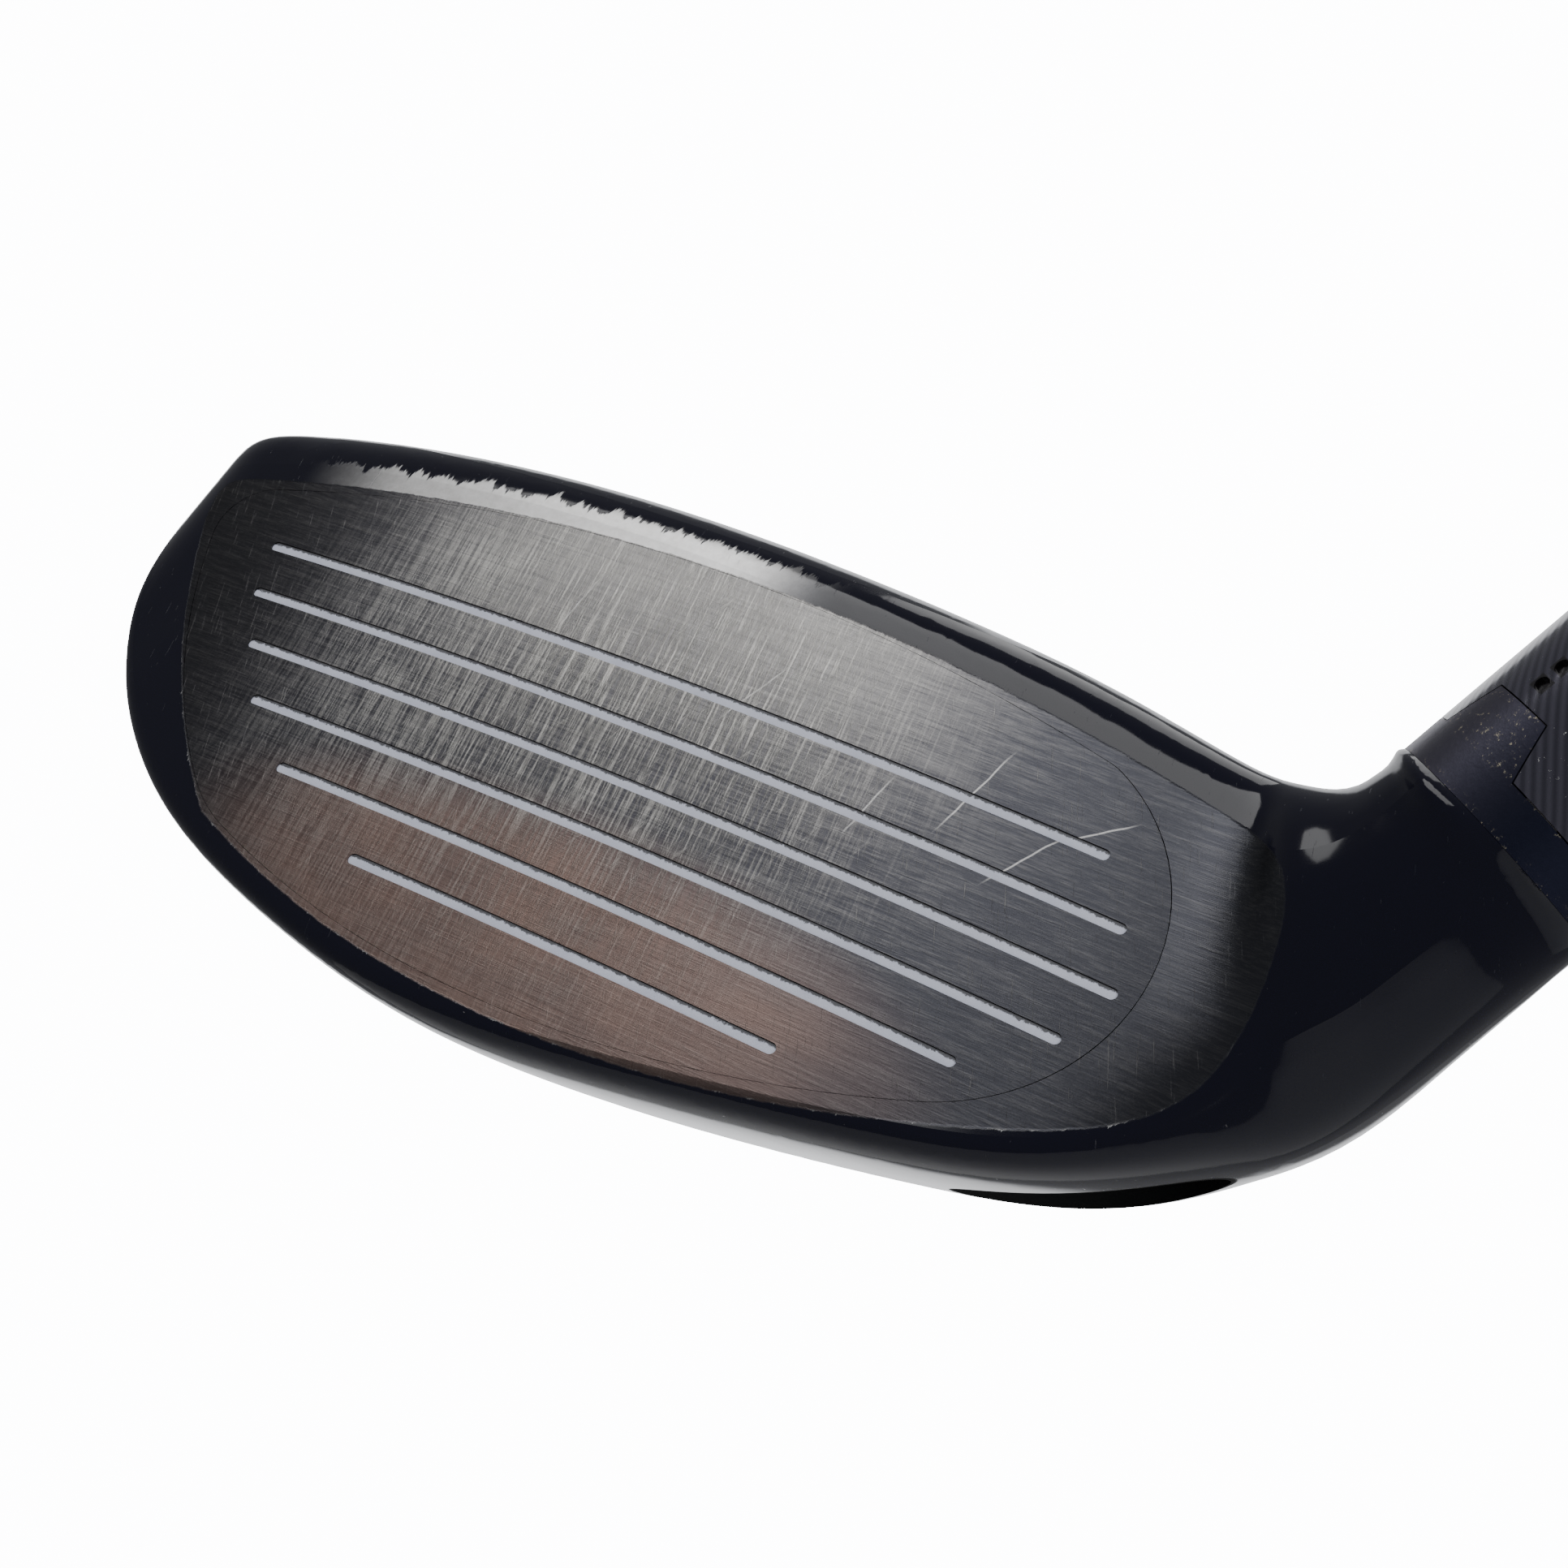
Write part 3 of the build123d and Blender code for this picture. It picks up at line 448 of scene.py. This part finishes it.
def line_paint():
    """Pale blue-white enamel, patchy with grime, with painted shade along the upper edge of each line."""
    look = Look("line_enamel")
    up_face = (look.y + FACE_PROGRESSION) * math.sin(LOFT) + look.z * math.cos(LOFT)
    within = (up_face - LOWEST_LINE + LINE_PITCH / 2) / LINE_PITCH
    off_middle = (within.math("FRACT") - 0.5) * LINE_PITCH
    speck = look.noise(look.x * 2.6, 0, up_face * 2.6, detail=6.0, roughness=0.8)
    # Painted shade: a speckled dark band along the upper edge of each line.
    groove_shade = ((speck - 0.5) * 0.7 + off_middle).rise(0.11, 0.20)
    grime = look.noise(look.x * 0.35, 0, up_face, detail=3.0).rise(0.35, 0.75) * 0.35
    colour = look.blend(groove_shade * 0.9, look.blend(grime, ENAMEL_CLEAN, ENAMEL_GRIMY), GROOVE_SHADE)
    return look.finish(Base_Color=colour, Roughness=0.45, Normal=look.bump(speck, 0.03, 0.6))


dress(line_paint(), "score_line_paint")

# %% [markdown]
# ## The hosel's rings
#
# The lower ring is anodised grey-violet, rubbed to brass along its edges; painted shade turns it navy
# round the side.  The upper one is glossy with fine slanting ribs, which are a sine of angle plus
# height.  It has white chips and two engraved dots, painted black as the shade inside them.  The ribs
# could be cut into the mesh, but they are so shallow that a bump shows the same.

# %% The hosel's rings
RING_SHADE_NAVY, RING_VIOLET = (0.020, 0.022, 0.045, 1), (0.115, 0.108, 0.135, 1)
RING_RUBBED = (0.62, 0.56, 0.40, 1)
RIB_DARK, RIB_LIGHT = (0.030, 0.029, 0.045, 1), (0.10, 0.095, 0.13, 1)
CHIP_WHITE, DOT_HOLE_SHADE = (0.80, 0.80, 0.78, 1), (0.006, 0.005, 0.005, 1)
RIB_COUNT, RIB_SLANT = 58.0, 9.0        # ribs round the ring; how far they turn with height
SHOULDER_HEIGHT, CHIP_HEIGHT = 38.0, 42.6


def lower_ring_finish():
    """Satin violet-grey anodising with rubbed edges; painted shade turns it navy round the side."""
    look = Look("ring_anodised")
    height, angle = round_shaft(look)
    grain = look.grain(3.0, detail=6.0, roughness=0.75)
    # Painted shade: the anodising darkens to navy round the side of the ring.
    side_shaded = look.blend((angle - RING_FRONT).rise(0.9, -0.9), RING_SHADE_NAVY, RING_VIOLET)
    foot, shoulder = height - NECK_TOP_HEIGHT, height - SHOULDER_HEIGHT
    rubbed = foot.rise(0.55, 0.05).most(shoulder.rise(0.25, 0.6)) * grain.rise(0.58, 0.66)
    return look.finish(Base_Color=look.blend(rubbed * 0.7, side_shaded, RING_RUBBED), Metallic=0.85,
                       Roughness=grain * 0.2 + 0.26, Normal=look.bump(grain, 0.02, 0.6))


def upper_ring_finish():
    """Gloss charcoal with fine slanting ribs, chipped white at its edges, with painted shade in two engraved
    dots.
    """
    look = Look("ring_gloss")
    height, angle = round_shaft(look)
    ribs = (angle * RIB_COUNT + height * RIB_SLANT).math("SINE") * 0.5 + 0.5
    grain = look.grain(2.2, detail=6.0, roughness=0.8)
    chips = (grain + (height - CHIP_HEIGHT).rise(0.9, -0.4) * 0.05).rise(0.70, 0.72)
    chipped = look.blend(chips, look.blend(ribs * 0.5, RIB_DARK, RIB_LIGHT), CHIP_WHITE)
    # Painted shade: the two engraved dots are filled near black.
    off_middle = abs(height - DOTS_HEIGHT)
    in_column = abs(angle - RING_FRONT).rise(0.085, 0.07)
    dot_shade = off_middle.rise(1.15, 1.05) * in_column * off_middle.rise(0.15, 0.25)
    return look.finish(Base_Color=look.blend(dot_shade * 0.9, chipped, DOT_HOLE_SHADE), Metallic=0.3,
                       Roughness=grain * 0.12 + 0.12, Coat_Weight=0.6, Coat_Roughness=0.06,
                       Normal=look.bump(ribs * 0.6 + grain * 0.3, 0.015, 0.6))


dress(lower_ring_finish(), "lower_ring")
dress(upper_ring_finish(), "upper_ring")

# %% [markdown]
# ## The shaft
#
# The shaft is clear-coated composite.  Two sines that slant opposite ways round the axis, multiplied,
# make a weave that barely shows.  It could be a picture laid on a UV map, but height and angle are
# a map of the shaft already.  A grey band marks the place below the grip.

# %% The shaft
WEAVE_DARK, WEAVE_LIGHT, BAND_GREY = (0.006, 0.006, 0.007, 1), (0.022, 0.022, 0.025, 1), (0.22, 0.22, 0.23, 1)
BAND_HEIGHT, BAND_HALF = 640.0, 42.0


def crossing(height, angle, count, slant):
    """The product of two sines that slant opposite ways round the axis, -1 to 1."""
    return (angle * count + height * slant).math("SINE") * (angle * count - height * slant).math("SINE")


def shaft_finish():
    """Black composite under clear coat, with a grey band below the grip."""
    look = Look("shaft_composite")
    height, angle = round_shaft(look)
    weave = crossing(height, angle, 24.0, 2.4) * 0.5 + 0.5
    band = abs(height - BAND_HEIGHT).rise(BAND_HALF, BAND_HALF - 0.5)
    colour = look.blend(band * 0.6, look.blend(weave, WEAVE_DARK, WEAVE_LIGHT), BAND_GREY)
    return look.finish(Base_Color=colour, Roughness=0.28, Coat_Weight=1.0, Coat_Roughness=0.04,
                       Normal=look.bump(weave, 0.01, 0.3))


dress(shaft_finish(), "shaft")

# %% [markdown]
# ## The grip
#
# The grip is moulded rubber.  The same crossing of two sines, with fewer turns and a hard step,
# gives rows of small lozenges.  Near both ends plain rings take their place.  They could be faces of
# the mesh, many thousands of them; at a third of a millimetre deep, a bump does as well.

# %% The grip
RUBBER_DARK, RUBBER_LIGHT = (0.006, 0.006, 0.006, 1), (0.035, 0.035, 0.035, 1)
GRIP_MIDDLE, PATTERN_HALF = 886.0, 112.0


def grip_finish():
    """Matte rubber with rows of small lozenges and plain rings near both ends."""
    look = Look("grip_rubber")
    height, angle = round_shaft(look)
    field = abs(height - GRIP_MIDDLE).rise(PATTERN_HALF, PATTERN_HALF - 2.0)
    lozenges = crossing(height, angle, 11.0, 1.1).rise(-0.25, 0.25) * field
    rings = (height * 2.1).math("SINE") * (1.0 - field)
    relief = lozenges + rings * 0.25
    grain = look.grain(2.0, detail=5.0, roughness=0.7)
    # The rubber is lighter on the raised lozenges and rings and at random with the grain, darker in the
    # grooves.
    return look.finish(Base_Color=look.blend(relief * 0.5 + grain * 0.4, RUBBER_DARK, RUBBER_LIGHT),
                       Roughness=grain * 0.12 + 0.66, Normal=look.bump(relief + grain * 0.15, 0.35, 0.8))


dress(grip_finish(), "grip")

# %% [markdown]
# ## The small parts
#
# Screws, weight, badge, sleeve and the parts hidden inside the hosel have plain finishes.  Nothing
# real is one flat colour, so each wanders between two close tones with a little grain.


# %% The small parts
def grained(name, darker, lighter, metal, rough, depth=0.01, coat=0.0):
    """A plain finish broken up by a little noise."""
    look = Look(name)
    grain = look.grain(1.2, detail=5.0, roughness=0.65)
    return look.finish(Base_Color=look.blend(grain, (*darker, 1), (*lighter, 1)), Metallic=metal,
                       Roughness=grain * 0.16 + rough, Coat_Weight=coat, Coat_Roughness=0.05,
                       Normal=look.bump(grain, depth, 0.6))


bright_steel = grained("bright_steel", (0.40, 0.40, 0.41), (0.62, 0.62, 0.63), 1.0, 0.20)
dress(bright_steel, "hosel_screw", "screw_washer")
dress(grained("satin_steel", (0.34, 0.34, 0.36), (0.55, 0.55, 0.57), 1.0, 0.28), "sole_badge", "sole_weight")
dress(grained("bare_aluminium", (0.5, 0.5, 0.52), (0.7, 0.7, 0.72), 1.0, 0.24), "adapter_sleeve")
dress(grained("gloss_ferrule", (0.008, 0.008, 0.009), (0.02, 0.02, 0.022), 0.0, 0.08, coat=0.4), "ferrule")
dress(grained("cap_rubber", (0.008, 0.008, 0.008), (0.03, 0.03, 0.03), 0.0, 0.66, depth=0.05), "grip_cap")
dress(grained("epoxy", (0.42, 0.36, 0.2), (0.55, 0.48, 0.3), 0.0, 0.2), "shaft_bond")
dress(grained("nylon", (0.7, 0.7, 0.68), (0.82, 0.82, 0.8), 0.0, 0.4), "screw_retainer")
dress(grained("plug_plastic", (0.2, 0.2, 0.2), (0.32, 0.32, 0.32), 0.0, 0.5), "tip_plug")
dress(grained("tape_paper", (0.7, 0.64, 0.5), (0.82, 0.77, 0.64), 0.0, 0.75), "grip_tape")
dress(grained("tacky_glue", (0.3, 0.2, 0.08), (0.42, 0.3, 0.14), 0.0, 0.3, depth=0.2), "rattle_pad")

# %% [markdown]
# ## The camera
#
# The camera looks at the head from low in front of the heel and is rolled a little.  Its three
# directions, across, down and forward, are the columns of its matrix, except that a camera in
# Blender looks along its own -Z and has +Y upwards.

# %% The camera
CAMERA_PLACE = Vector((46.497, -127.940, 8.369))
ACROSS = Vector((0.8231, 0.4080, 0.3951))
DOWN = Vector((0.3079, 0.2640, -0.9141))
FORWARD = Vector((-0.4772, 0.8740, 0.0917))

camera_data = bpy.data.cameras.new("camera")
camera_data.sensor_width, camera_data.lens = 36.0, 55.90
camera_data.clip_start, camera_data.clip_end = 0.005, 50.0
camera = bpy.data.objects.new("camera", camera_data)
bpy.context.scene.collection.objects.link(camera)
bpy.context.scene.camera = camera
turn = Matrix((ACROSS, -DOWN, -FORWARD)).transposed().to_4x4()
camera.matrix_world = Matrix.Translation(CAMERA_PLACE * MM) @ turn
print("camera", round(CAMERA_PLACE.length), "mm from where the shaft's axis meets the ground")

# %% [markdown]
# ## The floor
#
# The club hangs over a plain pale floor.  It could stand on it, but then the floor would cross the
# camera's view behind the head, so the floor lies further down.

# %% The floor
FLOOR_CENTRE, FLOOR_HALF, FLOOR_HEIGHT = (0.2, 0.0), 0.55, -0.30      # metres


def floor_sheet():
    """A flat square with a matte finish."""
    look = Look("floor_pale")
    finish = look.finish(Base_Color=(0.86, 0.86, 0.86, 1), Roughness=0.9, Specular_IOR_Level=0.1)
    corners = [(FLOOR_CENTRE[0] + side * FLOOR_HALF, FLOOR_CENTRE[1] + depth * FLOOR_HALF, FLOOR_HEIGHT)
               for side, depth in ((-1, -1), (1, -1), (1, 1), (-1, 1))]
    mesh = bpy.data.meshes.new("floor")
    mesh.from_pydata(corners, [], [(0, 1, 2, 3)])
    mesh.materials.append(finish)
    return bpy.data.objects.new("floor", mesh)


floor = floor_sheet()
bpy.context.scene.collection.objects.link(floor)
print("floor", 2 * FLOOR_HALF, "m wide, at", FLOOR_HEIGHT, "m")

# %% [markdown]
# ## The lamps
#
# A large soft lamp hangs above the toe side, a narrow one stands beside the hosel for the streak
# along the neck, and a third lights the crown from behind.


# %% The lamps
def soft_light(name, place, aim, width, height, power):
    """A rectangular lamp that faces a point."""
    lamp = bpy.data.lights.new(name, "AREA")
    lamp.shape, lamp.size, lamp.size_y, lamp.energy = "RECTANGLE", width, height, power
    made = bpy.data.objects.new(name, lamp)
    made.location = place
    made.rotation_euler = (Vector(aim) - Vector(place)).to_track_quat("-Z", "Y").to_euler()
    bpy.context.scene.collection.objects.link(made)
    print(name, "lamp", power, "W from", place)


soft_light("key", (-0.35, -0.45, 0.75), (-0.03, 0, 0.02), 0.7, 0.5, 3.6)
soft_light("side", (0.55, -0.30, 0.30), (0.02, 0, 0.03), 0.12, 0.5, 1.2)
soft_light("top", (0.0, 0.5, 1.0), (0, 0, 0.05), 1.0, 0.6, 3.0)

# %% [markdown]
# ## The room
#
# The camera sees a white room.  A mirror image of that white would turn the black paint grey, so
# everything else sees a dim room with one soft brighter patch, in the direction that the camera
# looks.

# %% The room
ROOM_WHITE, ROOM_DIM, PATCH_GLOW = 13.2, 0.22, 1.2
PATCH_EDGE, PATCH_CORE = 0.84, 0.90     # cosines of the angle from the camera's direction

world = bpy.data.worlds.new("studio")
bpy.context.scene.world = world
world.use_nodes = True
nodes = world.node_tree.nodes
way = Value(world.node_tree, nodes.new("ShaderNodeTexCoord").outputs["Generated"])
facing = nodes.new("ShaderNodeVectorMath")
facing.operation = "DOT_PRODUCT"
facing.inputs[1].default_value = FORWARD
plug(world.node_tree, facing.inputs[0], way)
patch = Value(world.node_tree, facing.outputs["Value"]).rise(PATCH_EDGE, PATCH_CORE)
seen = Value(world.node_tree, nodes.new("ShaderNodeLightPath").outputs["Is Camera Ray"])
sky = nodes["Background"]
sky.inputs["Color"].default_value = (0.96, 0.97, 1, 1)
plug(world.node_tree, sky.inputs["Strength"], seen * ROOM_WHITE + patch * PATCH_GLOW + ROOM_DIM)
print("room", ROOM_WHITE, "for the camera,", ROOM_DIM, "to", ROOM_DIM + PATCH_GLOW, "for everything else")
